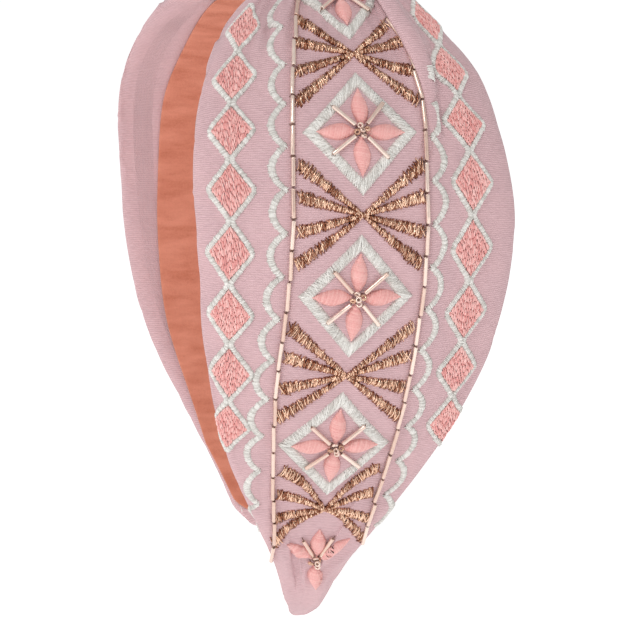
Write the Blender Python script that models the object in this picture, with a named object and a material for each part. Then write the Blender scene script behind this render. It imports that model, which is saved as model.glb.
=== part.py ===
"""Embroidered, padded top-knot headband.

The band is a wide arch that goes over a head from ear to ear. A sprung plastic core, cut at two flex
points beside the knot, carries a foam pad, an embroidered cloth cover and a suede lining. A padded
knot loop pinches the gathered cloth at the crown.

Frame: origin on the lining at the crown, where the band rests on the head. +Z is up, X runs from
ear to ear, and the wearer faces -Y. Lengths below are millimetres.

Places on the band are given as (s, v, depth): s is the distance from the crown along the outer centre
line, v is the distance across the band (minus is the front edge) and depth is measured inwards from
the outer centre line.
"""

import math

import bmesh
import bpy
from mathutils import Matrix, Vector

MM = 0.001

# The arch: a quarter circle from the crown to the temple, then a flatter arc that curls in to the tip.
CROWN_RADIUS = 64.5
ARM_RADIUS = 164.0
TEMPLE_S = CROWN_RADIUS * math.pi / 2
TIP_S = 219.8

# The outline, as (s, distance from the centre plane) of the front and back edges.
FRONT_EDGE = ((20, 14.5), (36, 26), (52, 34.3), (75, 39.3), (105, 38.8), (135, 35.3), (160, 28.7),
              (184, 17.6), (200, 10.0), (214, 5.0))
BACK_EDGE = ((20, 13.5), (36, 23.5), (52, 32.3), (75, 38.8), (102, 41.6), (130, 37.5), (155, 27.3),
             (175, 17.4), (195, 8.4), (214, 4.4))
TIP_ROUND_S = 213.5
END_SHRINK = 0.45

# Section: the outer skin is crowned across the band and the inner face is flat.
SWELL = 6.5
SWELL_AT = 38.0
INNER_DEPTH = 10.8
TIP_INNER_DEPTH = 4.2
THINNING_S = 110.0
SKIN = 0.9
GAP = 0.3
CORE_THICK = 1.4
LINING_THICK = 0.8
MARGIN_LAP = 2.5
EDGE_ROUND = 3.4
EASE_FROM = 0.86

# Flex points: hinge axes run front to back through the core beside the knot.
PIVOT_S = 22.5
PIVOT_DEPTH = 8.6
CORE_START = 22.8
COVER_START = 24.0
FOAM_END = 175.0
CORE_END = 207.0
LINING_END = 209.0

# Half widths of the lining, as (s, half width), and the least that the cover shows beside it.
LINING_HALF = ((20.8, 13), (33, 16.7), (60, 22), (84, 27.2), (113, 28.8), (133, 27.4), (152, 23.6),
               (172, 17.2), (188, 12.0), (209, 5.0))
LINING_MARGIN = 2.4

# The crown, which the knot loop wraps.
CORE_CROWN_END = 22.2
CORE_CROWN_HALF = 8.5
CORE_CROWN_TOP = INNER_DEPTH - 2.9
GATHER_END = 20.5
GATHER_HALF = 13.5
GATHER_RISE = 3.2
GATHER_DEPTH = 7.4
GATHER_BULGE = 0.8
LINING_CROWN_END = 20.8
LINING_CROWN_HALF = 13.0
LINING_FACE = INNER_DEPTH + 1.5
LINING_SEGMENTS = 5
LINING_ON_ARM = LINING_FACE - INNER_DEPTH - 0.4
KNOT_HALF_LENGTH = 19.5
KNOT_HALF_WIDTH = 22.0
KNOT_RISE = 16.0
KNOT_NARROWING = 2.5
KNOT_END_DROP = 7.0
KNOT_SEAT = INNER_DEPTH + 0.4
KNOT_HOLE_HALF = 17.2
KNOT_HOLE_NARROWING = 0.6
KNOT_HOLE_TOP = -4.0
KNOT_HOLE_BOTTOM = INNER_DEPTH - 1.1

# Embroidery: the pattern repeats along the band and is drawn together near the knot.
PATTERN_PITCH = 40.17
FIRST_FRAME_S = 33.6
FRAME_COUNT = 4
FRAME_HALF_LENGTH = 13.2
FRAME_HALF_WIDTH = 12.0
FRAME_STROKE = 2.6
MITRE = 1.45
FLOWER_COUNT = 5
LAST_FLOWER_RISE = 1.2
PATTERN_CUT_S = COVER_START + 1.2
PETAL_LENGTH = 9.6
PETAL_HALF_WIDTH = 1.55
CROSS_REACH = 7.2
FAN_HALF_WIDTH = 14.2
LAST_FAN_NARROWING = 3.0
FAN_RAY_S = (-12.2, -4.4, 4.2, 12.2)
FAN_RAY_HALF = 1.5
FAN_VALLEY = 5.0
FAN_WAIST = 2.4
SCALLOP_START = 54.9
SCALLOP_PITCH = 10.7
SCALLOP_COUNT = {-1: 12, 1: 11}
SCALLOP_LINE = 18.2
SCALLOP_NARROWING = 1.2
SCALLOP_CREST = 3.2
SCALLOP_HALF_STROKE = 0.6
CHAIN_START = 35.3
CHAIN_PITCH = 15.3
CHAIN_COUNT = 8
CHAIN_HALF = 5.4
CHAIN_NODE_HALF = 0.8
CHAIN_LINE = {-1: 30.4, 1: 27.3}
BEAD_LINE = 16.5
BEAD_LINE_NARROWING = 3.2
BEAD_END_GAP = 0.35
BEAD_NOTCH = 0.55
CROSS_LOW = 1.3
CROSS_HIGH = 2.1
CROSS_DIP = 0.5
BEAD_PITCH = 7.65
BEAD_RADIUS = 0.5
BEADS_START = 33.0
BEAD_COUNT = 20
LAYER_LOW = 0.35
LAYER_HIGH = 0.9

ARC_CENTRE_Z = -(CROWN_RADIUS - LINING_FACE) * math.cos(LINING_CROWN_END / LINING_SEGMENTS / CROWN_RADIUS)


# ---------------------------------------------------------------- shape of the band


def through(points, s):
    """A smooth curve through hand-set points."""
    if s <= points[0][0]:
        return points[0][1]
    if s >= points[-1][0]:
        return points[-1][1]
    k = max(i for i in range(len(points) - 1) if points[i][0] <= s)
    s0, a = points[k]
    s1, b = points[k + 1]

    def slope(i):
        before = points[max(i - 1, 0)]
        after = points[min(i + 1, len(points) - 1)]
        return (after[1] - before[1]) / (after[0] - before[0])

    t = (s - s0) / (s1 - s0)
    span = s1 - s0
    return (a * (2 * t ** 3 - 3 * t ** 2 + 1) + b * (3 * t ** 2 - 2 * t ** 3)
            + slope(k) * span * (t ** 3 - 2 * t ** 2 + t) + slope(k + 1) * span * (t ** 3 - t ** 2))


def ramp(value, low, high):
    """A smooth step from 0 at low to 1 at high."""
    t = min(max((value - low) / (high - low), 0.0), 1.0)
    return t * t * (3 - 2 * t)


def tip_round(s):
    if s <= TIP_ROUND_S:
        return 1.0
    t = (s - TIP_ROUND_S) / (TIP_S - TIP_ROUND_S)
    return END_SHRINK + (1 - END_SHRINK) * math.sqrt(max(1 - t * t, 0.0))


def front_edge(s):
    return through(FRONT_EDGE, s) * tip_round(s)


def back_edge(s):
    return through(BACK_EDGE, s) * tip_round(s)


def middle(s):
    return (back_edge(s) - front_edge(s)) / 2


def half_width(s):
    return (back_edge(s) + front_edge(s)) / 2


def inner_depth(s):
    return INNER_DEPTH - (INNER_DEPTH - TIP_INNER_DEPTH) * ramp(s, THINNING_S, TIP_S)


def core_half(s):
    half = half_width(s)
    return min(max(4.0, 0.5 * half), half - 2.2)


def lining_half(s):
    return min(through(LINING_HALF, s), half_width(s) - LINING_MARGIN)


def drop(v):
    return SWELL * (v / SWELL_AT) ** 2


def pattern_line(s):
    """The pattern's own centre line, which leans to the front on the lower arm."""
    return -1.8 * ramp(s, 95, 155) + 0.8 * ramp(s, 165, 200)


def pattern_scale(s):
    t = min(max((s - 20) / 60, 0.0), 1.0)
    return 1 - 0.5 * (1 - t) ** 2


def place(s, v, depth, side=1):
    """World position of a point of the band; side is 1 for +X and -1 for -X."""
    if s <= TEMPLE_S:
        angle = s / CROWN_RADIUS
        radius = CROWN_RADIUS - depth
        centre_x = 0.0
    else:
        angle = math.pi / 2 + (s - TEMPLE_S) / ARM_RADIUS
        radius = ARM_RADIUS - depth
        centre_x = CROWN_RADIUS - ARM_RADIUS
    x = centre_x + radius * math.sin(angle)
    z = ARC_CENTRE_Z + radius * math.cos(angle)
    return Vector((side * x, v, z)) * MM


def kept_on_band(s, v):
    """Draws in what would pass the band's rounded edges, without folding it over."""
    limit = (back_edge(s) if v > 0 else front_edge(s)) - EDGE_ROUND
    share = abs(v) / limit
    if share > EASE_FROM:
        share = EASE_FROM + (1 - EASE_FROM) * math.tanh((share - EASE_FROM) / (1 - EASE_FROM))
    return math.copysign(share * limit, v)


def on_surface(s, across, height, side):
    """A point of the pattern, at a height above the cover."""
    v = kept_on_band(s, pattern_line(s) + across * pattern_scale(s))
    return place(s, v, drop(v) - height, side)


def steps(start, end, count):
    return [start + (end - start) * i / count for i in range(count + 1)]


# ---------------------------------------------------------------- mesh helpers


def add_object(name, mesh_data, material, pivot=None):
    """Makes one closed body from bmesh geometry, and hangs it on its pivot if it moves."""
    bmesh.ops.recalc_face_normals(mesh_data, faces=mesh_data.faces)
    mesh = bpy.data.meshes.new(name)
    mesh_data.to_mesh(mesh)
    mesh_data.free()
    mesh.materials.append(material)
    mesh.shade_smooth()
    mesh.set_sharp_from_angle(angle=math.radians(50))
    piece = bpy.data.objects.new(name, mesh)
    bpy.context.scene.collection.objects.link(piece)
    if pivot is not None:
        piece.parent = pivot
        piece.matrix_parent_inverse = Matrix.Translation(-pivot.location)
    return piece


def bridge(mesh_data, ring_a, ring_b, closed=True):
    count = len(ring_a)
    for i in range(count if closed else count - 1):
        j = (i + 1) % count
        mesh_data.faces.new((ring_a[i], ring_a[j], ring_b[j], ring_b[i]))


def loft(rings, closed_path=False):
    """A solid through closed rings, capped at both ends or joined into a loop."""
    mesh_data = bmesh.new()
    verts = [[mesh_data.verts.new(p) for p in ring] for ring in rings]
    for ring_a, ring_b in zip(verts, verts[1:]):
        bridge(mesh_data, ring_a, ring_b)
    if closed_path:
        bridge(mesh_data, verts[-1], verts[0])
    else:
        mesh_data.faces.new(verts[0])
        mesh_data.faces.new(verts[-1])
    return mesh_data


def tube(outer, inner):
    """A sleeve between outer and inner rings, open at both ends."""
    mesh_data = bmesh.new()
    outside = [[mesh_data.verts.new(p) for p in ring] for ring in outer]
    inside = [[mesh_data.verts.new(p) for p in ring] for ring in inner]
    for rings in (outside, inside):
        for ring_a, ring_b in zip(rings, rings[1:]):
            bridge(mesh_data, ring_a, ring_b)
    bridge(mesh_data, outside[0], inside[0])
    bridge(mesh_data, outside[-1], inside[-1])
    return mesh_data


def slotted_shell(outer, inner):
    """A cover with a slot along its inner face, open at the start and closed at the tip."""
    mesh_data = bmesh.new()
    outside = [[mesh_data.verts.new(p) for p in path] for path in outer]
    inside = [[mesh_data.verts.new(p) for p in path] for path in inner]
    for paths in (outside, inside):
        for path_a, path_b in zip(paths, paths[1:]):
            bridge(mesh_data, path_a, path_b, closed=False)
    bridge(mesh_data, outside[0], inside[0], closed=False)
    for edge in (0, -1):
        for k in range(len(outside) - 1):
            mesh_data.faces.new((outside[k][edge], outside[k + 1][edge],
                                 inside[k + 1][edge], inside[k][edge]))
    mesh_data.faces.new(outside[-1])
    mesh_data.faces.new(inside[-1])
    mesh_data.faces.new((outside[-1][0], outside[-1][-1], inside[-1][-1], inside[-1][0]))
    return mesh_data


def strip(path, half, side, closed=False):
    """A raised ribbon of embroidery along (s, across) points, half wide to each side."""
    rings = []
    count = len(path)
    for i, (s, across) in enumerate(path):
        before = path[(i - 1) % count] if closed or i else path[i]
        after = path[(i + 1) % count] if closed or i < count - 1 else path[i]
        along = Vector((after[0] - before[0], after[1] - before[1])).normalized()
        reach = half[i] if isinstance(half, list) else half
        out = Vector((-along.y, along.x)) * reach
        left = (s + out.x, across + out.y)
        right = (s - out.x, across - out.y)
        rings.append([on_surface(*left, LAYER_LOW, side), on_surface(*right, LAYER_LOW, side),
                      on_surface(*right, LAYER_HIGH, side), on_surface(*left, LAYER_HIGH, side)])
    return loft(rings, closed)


def star_plate(s0, hub, rays, side, low=LAYER_LOW, high=LAYER_HIGH, lift=None):
    """A raised plate: a hub polygon about s0 with rays on some of its edges.

    Points are (ds, across) from the hub's middle. A ray is a hub edge's number and the pairs of
    points that carry it outwards.
    """
    mesh_data = bmesh.new()
    levels = []
    for height in (low, high):
        made = []

        def vert(point):
            extra = lift(math.hypot(*point)) if lift else 0.0
            made.append(mesh_data.verts.new(on_surface(s0 + point[0], point[1], height + extra, side)))
            return made[-1]

        ring = [vert(point) for point in hub]
        mesh_data.faces.new(ring)
        for edge, pairs in rays:
            pair = (ring[edge], ring[(edge + 1) % len(ring)])
            for points in pairs:
                further = (vert(points[0]), vert(points[1]))
                mesh_data.faces.new((pair[0], pair[1], further[1], further[0]))
                pair = further
        levels.append(made)
    upper = dict(zip(*levels))
    rim = [edge for edge in mesh_data.edges if len(edge.link_faces) == 1 and edge.verts[0] in upper]
    for edge in rim:
        first, second = edge.verts
        mesh_data.faces.new((first, second, upper[second], upper[first]))
    return mesh_data


def turned_pairs(angle, pairs):
    """Pairs of points at (radius, half width) along a ray, turned to its angle."""
    result = []
    for radius, half in pairs:
        result.append(tuple((radius * math.cos(angle) - width * math.sin(angle),
                             radius * math.sin(angle) + width * math.cos(angle))
                            for width in (-half, half)))
    return result


def make_material(name, colour, roughness, metallic=0.0):
    material = bpy.data.materials.new(name)
    material.use_nodes = True
    shader = material.node_tree.nodes["Principled BSDF"]
    shader.inputs["Base Color"].default_value = (*colour, 1)
    shader.inputs["Roughness"].default_value = roughness
    shader.inputs["Metallic"].default_value = metallic
    return material


# ---------------------------------------------------------------- the band's section


def section_path(s, inset, slot_half):
    """The padded outline at s as an open (v, depth) path from one slot edge round to the other."""
    centre = middle(s)
    half = half_width(s)
    bottom = inner_depth(s) - inset
    round_v = min(EDGE_ROUND, 0.42 * half)
    flat_half = half - round_v
    path = [(centre - slot_half, bottom)]
    for sign in (-1, 1):
        shoulder_v = centre + sign * flat_half
        shoulder = drop(shoulder_v) + inset
        mid_depth = (shoulder + bottom) / 2
        arc = []
        for k in range(4):
            angle = math.radians(-90 + 60 * k)
            arc.append((shoulder_v + sign * (round_v - inset) * math.cos(angle),
                        mid_depth - (bottom - shoulder) / 2 * math.sin(angle)))
        if sign < 0:
            path += arc
            for t in (-0.66, -0.33, 0, 0.33, 0.66):
                v = centre + t * flat_half
                path.append((v, drop(v) + inset))
        else:
            path += reversed(arc)
    path.append((centre + slot_half, bottom))
    return path


def slot_half(s):
    if s >= CORE_END:
        return 1.0
    return max(core_half(s) - MARGIN_LAP, 1.0)


def make_cover(s_values, side):
    outer = []
    inner = []
    for s in s_values:
        outer.append([place(s, v, d, side) for v, d in section_path(s, 0, slot_half(s))])
        s_in = min(s, TIP_S - SKIN)
        inner.append([place(s_in, v, d, side) for v, d in section_path(s_in, SKIN, slot_half(s))])
    return slotted_shell(outer, inner)


def make_foam(s_values, side):
    inset = SKIN + GAP
    rings = []
    for s in s_values:
        if s > FOAM_END:
            break
        well = core_half(s) + GAP
        path = section_path(s, inset, well)
        roof = inner_depth(s) - inset - CORE_THICK - GAP
        path += [(middle(s) + well, roof), (middle(s) - well, roof)]
        rings.append([place(max(s, COVER_START + GAP), v, d, side) for v, d in path])
    return loft(rings)


def make_flat_strap(s_values, side, half, depths, centre):
    """A strap of rectangular section, such as the core and the lining."""
    rings = []
    for s in s_values:
        corners = ((-1, depths[0]), (1, depths[0]), (1, depths[1]), (-1, depths[1]))
        rings.append([place(s, centre(s) + sign * half(s), inner_depth(s) + d, side)
                      for sign, d in corners])
    return loft(rings)


# ---------------------------------------------------------------- crown pieces


def superellipse(half_v, top, bottom, power, count=28):
    """Closed (v, depth) ring with softly squared corners."""
    centre = (top + bottom) / 2
    half_depth = (bottom - top) / 2
    ring = []
    for k in range(count):
        angle = 2 * math.pi * (k + 0.5) / count
        c = math.cos(angle)
        d = math.sin(angle)
        ring.append((math.copysign(abs(c) ** (2 / power), c) * half_v,
                     centre + math.copysign(abs(d) ** (2 / power), d) * half_depth))
    return ring


def signed_place(s, v, depth):
    return place(abs(s), v, depth, 1 if s >= 0 else -1)


def make_knot_loop():
    outer = []
    inner = []
    for s in steps(-KNOT_HALF_LENGTH, KNOT_HALF_LENGTH, 8):
        away = (s / KNOT_HALF_LENGTH) ** 2
        outside = superellipse(KNOT_HALF_WIDTH - KNOT_NARROWING * away, -KNOT_RISE + KNOT_END_DROP * away,
                               KNOT_SEAT, 2.5)
        inside = superellipse(KNOT_HOLE_HALF - KNOT_HOLE_NARROWING * away, KNOT_HOLE_TOP,
                              KNOT_HOLE_BOTTOM, 3.2)
        outer.append([signed_place(s, v, d) for v, d in outside])
        inner.append([signed_place(s, v, d) for v, d in inside])
    return tube(outer, inner)


def make_gather():
    rings = []
    for s in steps(-GATHER_END, GATHER_END, 8):
        bulge = 1 - (s / GATHER_END) ** 2
        ring = superellipse(GATHER_HALF + GATHER_BULGE * bulge, -GATHER_RISE * bulge, GATHER_DEPTH, 2.8, 20)
        rings.append([signed_place(s, v, d) for v, d in ring])
    return loft(rings)


def make_crown_strap(end, half, depth_low, depth_high, segments):
    rings = []
    for s in steps(-end, end, segments):
        corners = ((-half, depth_low), (half, depth_low), (half, depth_high), (-half, depth_high))
        rings.append([signed_place(s, v, d) for v, d in corners])
    return loft(rings)


# ---------------------------------------------------------------- embroidery


def chain_across(s, row):
    """The chains' middle lines: the front one draws in down the arm and the back one spreads."""
    if row < 0:
        return row * (CHAIN_LINE[row] - 3.8 * ramp(s, 100, 152))
    return row * (CHAIN_LINE[row] + 1.5 * ramp(s, 58, 88) + 0.6 * ramp(s, 88, 130))


def make_chain(row, side):
    """A column of stitched diamonds; row is -1 for the front edge and 1 for the back edge."""
    path = []
    halves = []
    for k in range(2 * CHAIN_COUNT + 1):
        s = CHAIN_START + k * CHAIN_PITCH / 2
        path.append((s, chain_across(s, row)))
        halves.append(CHAIN_NODE_HALF if k % 2 == 0 else CHAIN_HALF)
    return strip(path, halves, side)


def make_scallops(row, side):
    path = []
    for k in range(4 * SCALLOP_COUNT[row] + 1):
        s = SCALLOP_START + k * SCALLOP_PITCH / 4
        crest = abs(math.sin(math.pi * k / 4))
        line = SCALLOP_LINE - SCALLOP_NARROWING * ramp(s, 150, 185)
        path.append((s, row * (line + SCALLOP_CREST * crest)))
    return strip(path, SCALLOP_HALF_STROKE, side)


def make_beads(row, side):
    """Bugle beads on one thread, drawn as a rod with a notch between each pair."""
    rings = []
    sides = 5
    centre_height = LAYER_LOW + BEAD_RADIUS
    for k in range(BEAD_COUNT):
        start = BEADS_START + k * BEAD_PITCH
        stations = [(start + BEAD_END_GAP, 1.0), (start + BEAD_PITCH - BEAD_END_GAP, 1.0)]
        if k < BEAD_COUNT - 1:
            stations.append((start + BEAD_PITCH, BEAD_NOTCH))
        for s, fullness in stations:
            radius = BEAD_RADIUS * fullness
            across = row * (BEAD_LINE - BEAD_LINE_NARROWING * ramp(s, 150, 200))
            ring = []
            for i in range(sides):
                angle = 2 * math.pi * (i + 0.25) / sides
                ring.append(on_surface(s, across + radius * math.cos(angle) / pattern_scale(s),
                                       centre_height + radius * math.sin(angle), side))
            rings.append(ring)
    return loft(rings)


def with_midpoints(corners, closed):
    path = []
    following = corners[1:] + (corners[:1] if closed else [])
    for a, b in zip(corners, following):
        path += [a, ((a[0] + b[0]) / 2, (a[1] + b[1]) / 2)]
    return path if closed else path + [corners[-1]]


def make_frame(s0, side, cut_s):
    """A satin-stitched diamond outline; the one under the knot is cut off at cut_s."""
    right = (s0, FRAME_HALF_WIDTH)
    left = (s0, -FRAME_HALF_WIDTH)
    low = (s0 + FRAME_HALF_LENGTH, 0.0)
    high = (s0 - FRAME_HALF_LENGTH, 0.0)
    closed = high[0] > cut_s
    if closed:
        corners = [high, left, low, right]
    else:
        reach = FRAME_HALF_WIDTH * (cut_s - high[0]) / FRAME_HALF_LENGTH
        corners = [(cut_s, -reach), left, low, right, (cut_s, reach)]
    path = with_midpoints(corners, closed)
    stroke = [FRAME_STROKE / 2 * (MITRE if point in (right, left, low, high) else 1.0) for point in path]
    return strip(path, stroke, side, closed)


def make_fan(s0, side):
    """Eight copper rays that meet at the middle and widen towards the bead lines."""
    reach = FAN_HALF_WIDTH - LAST_FAN_NARROWING * ramp(s0, 140, 180)
    ends = [(ds, sign * reach) for sign in (-1, 1) for ds in FAN_RAY_S[::-sign]]
    hub = []
    for before, end in zip(ends[-1:] + ends, ends):
        valley = Vector(before).normalized() + Vector(end).normalized()
        valley.normalize()
        hub.append(tuple(valley * (FAN_VALLEY if before[1] == end[1] else FAN_WAIST)))
    rays = []
    for k, end in enumerate(ends):
        turn = math.copysign(FAN_RAY_HALF, end[1])
        tip_pair = ((end[0] + turn, end[1]), (end[0] - turn, end[1]))
        base_pair = (hub[k], hub[(k + 1) % len(hub)])
        half_way = tuple(tuple((a + b) / 2 for a, b in zip(base, tip))
                         for base, tip in zip(base_pair, tip_pair))
        rays.append((k, (half_way, tip_pair)))
    return star_plate(s0, hub, rays, side)


def make_rays(s0, side, ray_pairs, **height):
    """Four rays on a common hub; ray_pairs gives each one's angle and (radius, half width) pairs."""
    hub = []
    rays = []
    for k, (angle, pairs) in enumerate(ray_pairs):
        turned = turned_pairs(angle, pairs)
        hub += turned[0]
        rays.append((2 * k, turned[1:]))
    return star_plate(s0, hub, rays, side, **height)


def make_flower(s0, side, cut_s):
    """Four satin petals along and across the band; the one that would pass cut_s is shorter."""
    ray_pairs = []
    for k in range(4):
        length = PETAL_LENGTH
        if k == 2:
            length = min(length, s0 - cut_s)
        pairs = ((2.6, 1.1), (length * 0.45, PETAL_HALF_WIDTH), (length * 0.75, 1.3), (length, 0.3))
        ray_pairs.append((k * math.pi / 2, pairs))
    return make_rays(s0, side, ray_pairs)


def make_bead_cross(s0, side):
    """Four bugle beads on the diagonals, joined by the seed beads over the flower's middle."""
    pairs = ((2.2, BEAD_RADIUS), (CROSS_REACH, BEAD_RADIUS))
    ray_pairs = [(math.pi / 4 + k * math.pi / 2, pairs) for k in range(4)]
    return make_rays(s0, side, ray_pairs, low=CROSS_LOW, high=CROSS_HIGH,
                     lift=lambda radius: -CROSS_DIP * ramp(radius, 4.0, CROSS_REACH))


# ---------------------------------------------------------------- assembly


def make_materials():
    return {
        "cloth": make_material("pink_cloth", (0.72, 0.46, 0.48), 0.9),
        "suede": make_material("rust_suede", (0.56, 0.20, 0.11), 0.95),
        "foam": make_material("foam", (0.85, 0.83, 0.76), 1.0),
        "core": make_material("core_plastic", (0.82, 0.82, 0.8), 0.4),
        "cream": make_material("cream_thread", (0.82, 0.79, 0.73), 0.7),
        "coral": make_material("coral_thread", (0.82, 0.28, 0.24), 0.6),
        "copper": make_material("copper_thread", (0.6, 0.27, 0.14), 0.35, 0.9),
        "bead": make_material("champagne_bead", (0.78, 0.58, 0.47), 0.25, 0.6),
    }


def make_crown(materials):
    add_object("core_crown", make_crown_strap(CORE_CROWN_END, CORE_CROWN_HALF, CORE_CROWN_TOP,
                                              CORE_CROWN_TOP + CORE_THICK, 8), materials["core"])
    add_object("crown_gather", make_gather(), materials["cloth"])
    add_object("knot_loop", make_knot_loop(), materials["cloth"])
    add_object("lining_crown", make_crown_strap(LINING_CROWN_END, LINING_CROWN_HALF,
                                                LINING_FACE - LINING_THICK, LINING_FACE,
                                                LINING_SEGMENTS), materials["suede"])


def make_arm(name, side, materials):
    pivot = bpy.data.objects.new(f"{name}_flex_axis", None)
    pivot.location = place(PIVOT_S, 0, PIVOT_DEPTH, side)
    bpy.context.scene.collection.objects.link(pivot)

    def add(part_name, mesh_data, slot):
        add_object(f"{name}_{part_name}", mesh_data, materials[slot], pivot)

    cover_s = steps(COVER_START, 208, 23) + [TIP_ROUND_S, 216.5, 218.6, TIP_S]
    inset = SKIN + GAP
    add("cover", make_cover(cover_s, side), "cloth")
    add("foam", make_foam(cover_s, side), "foam")
    add("core", make_flat_strap(steps(CORE_START, CORE_END, 23), side, core_half,
                                (-inset - CORE_THICK, -inset), middle), "core")
    add("lining", make_flat_strap(steps(CORE_START, LINING_END, 23), side, lining_half,
                                  (LINING_ON_ARM - LINING_THICK, LINING_ON_ARM), middle), "suede")
    for row, label in ((-1, "front"), (1, "back")):
        add(f"diamond_chain_{label}", make_chain(row, side), "coral")
        add(f"scallop_line_{label}", make_scallops(row, side), "cream")
        add(f"bead_line_{label}", make_beads(row, side), "bead")
    for k in range(FLOWER_COUNT):
        s0 = FIRST_FRAME_S + k * PATTERN_PITCH
        if k < FRAME_COUNT:
            add(f"diamond_frame_{k + 1}", make_frame(s0, side, PATTERN_CUT_S), "cream")
            add(f"copper_fan_{k + 1}", make_fan(s0 + PATTERN_PITCH / 2, side), "copper")
        if k == FRAME_COUNT:
            s0 -= LAST_FLOWER_RISE
        add(f"flower_{k + 1}", make_flower(s0, side, PATTERN_CUT_S), "coral")
        add(f"bead_cross_{k + 1}", make_bead_cross(s0, side), "bead")


for old in list(bpy.data.objects):
    bpy.data.objects.remove(old, do_unlink=True)

band_materials = make_materials()
make_crown(band_materials)
make_arm("left", 1, band_materials)
make_arm("right", -1, band_materials)
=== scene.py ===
import math

import bpy
import numpy as np
from mathutils import Matrix, Vector


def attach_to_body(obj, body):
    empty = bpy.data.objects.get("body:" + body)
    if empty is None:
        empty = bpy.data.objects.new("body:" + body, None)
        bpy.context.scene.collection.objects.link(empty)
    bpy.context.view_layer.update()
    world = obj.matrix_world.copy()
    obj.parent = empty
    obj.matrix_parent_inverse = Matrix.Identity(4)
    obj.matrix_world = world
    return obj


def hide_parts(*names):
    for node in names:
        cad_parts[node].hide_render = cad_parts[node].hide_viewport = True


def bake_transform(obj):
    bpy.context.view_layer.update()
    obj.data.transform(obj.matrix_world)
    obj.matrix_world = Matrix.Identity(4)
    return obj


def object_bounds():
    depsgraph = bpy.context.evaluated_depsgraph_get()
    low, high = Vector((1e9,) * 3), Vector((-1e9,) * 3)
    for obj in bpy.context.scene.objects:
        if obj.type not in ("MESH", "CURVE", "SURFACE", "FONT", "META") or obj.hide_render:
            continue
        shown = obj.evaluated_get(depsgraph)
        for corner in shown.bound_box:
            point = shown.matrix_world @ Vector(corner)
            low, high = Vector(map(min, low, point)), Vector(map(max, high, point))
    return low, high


# Looks for the embroidered padded headband. Lengths are millimetres until a mesh is made.
#
# Places on the band are (s, v): s is the distance from the crown along the outer centre line and v is
# the distance across the band, minus to the front. Each arm is made on the left, and the right one is then
# mirrored. Embroidery is given as (s, across), where across is v before the pattern's middle line and its
# gathering towards the knot are applied. Row -1 is the front one of two alike lines and row 1 the back one.

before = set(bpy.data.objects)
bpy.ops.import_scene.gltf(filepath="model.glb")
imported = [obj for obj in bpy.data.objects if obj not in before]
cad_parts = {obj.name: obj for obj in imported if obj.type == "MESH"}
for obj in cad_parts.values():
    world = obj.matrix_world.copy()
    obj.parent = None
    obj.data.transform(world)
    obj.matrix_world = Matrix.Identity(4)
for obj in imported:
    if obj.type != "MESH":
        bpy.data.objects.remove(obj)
cad_low, cad_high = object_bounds()

MM = 0.001
ACROSS_X = np.array([-1.0, 1.0, 1.0])
RANDOM = np.random.default_rng(7)

# ---------------------------------------------------------------- the band's shape, as the CAD has it

CROWN_RADIUS = 64.5
ARM_RADIUS = 164.0
TEMPLE_S = CROWN_RADIUS * math.pi / 2
ARC_CENTRE_Z = -52.091
FRONT_EDGE = ((10, 13.4), (20, 14.5), (36, 26), (52, 34.3), (75, 39.1), (105, 38.2), (135, 34.3),
              (160, 27.5), (184, 16.8), (200, 10.0), (214, 5.3))
BACK_EDGE = ((10, 13.0), (20, 13.5), (36, 23.5), (52, 32.3), (75, 38.8), (102, 41.6), (130, 37.8),
             (155, 27.9), (175, 17.9), (195, 8.8), (214, 4.8))
LINING_HALF = ((0, 13), (20.8, 13), (33, 16.7), (60, 22), (84, 27.2), (113, 28.8), (133, 27.4),
               (152, 23.6), (172, 17.2), (188, 12.6), (200, 9.4), (213, 5.0))
SWELL = 6.5
SWELL_AT = 38.0
INNER_DEPTH = 10.8
TIP_INNER_DEPTH = 4.2
THINNING_S = 110.0
THINNING_END = 219.0
LINING_CUT_S = 13.0
LINING_THICK = 0.9
COVER_START = 12.5
FIRST_STITCH_S = 17.5
EDGE_ROUND = 4.6


def through(points, s):
    """A smooth curve through given points, for an array of s."""
    xs, ys = np.array(points, float).T
    slopes = np.gradient(ys, xs)
    slopes[1:-1] = (ys[2:] - ys[:-2]) / (xs[2:] - xs[:-2])
    s = np.clip(s, xs[0], xs[-1])
    k = np.clip(np.searchsorted(xs, s, side="right") - 1, 0, len(xs) - 2)
    span = xs[k + 1] - xs[k]
    t = (s - xs[k]) / span
    return (ys[k] * (2 * t ** 3 - 3 * t ** 2 + 1) + ys[k + 1] * (3 * t ** 2 - 2 * t ** 3)
            + slopes[k] * span * (t ** 3 - 2 * t ** 2 + t) + slopes[k + 1] * span * (t ** 3 - t ** 2))


def ramp(value, low, high):
    t = np.clip((value - low) / (high - low), 0.0, 1.0)
    return t * t * (3 - 2 * t)


def bump(value, centre, width):
    return np.exp(-((value - centre) / width) ** 2)


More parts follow.
